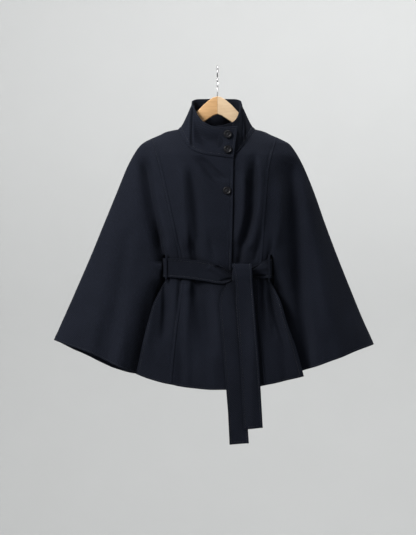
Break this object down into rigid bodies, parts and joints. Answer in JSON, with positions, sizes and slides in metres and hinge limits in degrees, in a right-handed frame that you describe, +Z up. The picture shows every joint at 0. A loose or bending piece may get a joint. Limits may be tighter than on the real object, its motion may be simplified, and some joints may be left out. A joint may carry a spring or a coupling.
{
  "type": "wool cape coat on a wooden hanger",
  "caption": "Hip-length navy wool cape coat with a stand collar, princess seams, belt slits and a knotted tie belt, hung on a light wooden hanger with a wire hook.",
  "frame": {"origin": "inner top of the hook, where it bears on the rail that holds it", "axes": "+X towards the wearer's left, the front faces -Y, +Z up"},
  "size_m": [0.88, 0.225, 1.0243],
  "materials": {
    "wool": "matte navy wool twill",
    "button": "polished horn-like",
    "hanger_wood": "satin varnish",
    "hook_steel": "satin"
  },
  "bodies": {
    "root": {"front_center_r": "wool", "front_center_l": "wool", "front_side_r": "wool", "front_side_l": "wool", "sleeve_front_r": "wool", "sleeve_front_l": "wool", "sleeve_back_r": "wool", "sleeve_back_l": "wool", "back": "wool", "collar": "wool", "belt_front_r": "wool", "belt_front_l": "wool", "belt_back": "wool", "belt_tail_front": "wool", "belt_tail_rear": "wool", "belt_knot": "wool", "belt_loop_r": "wool", "belt_loop_l": "wool", "button_1": "button", "button_2": "button", "button_3": "button", "hanger_arm_r": "hanger_wood", "hanger_arm_l": "hanger_wood", "hook": "hook_steel"}
  },
  "joints": []
}
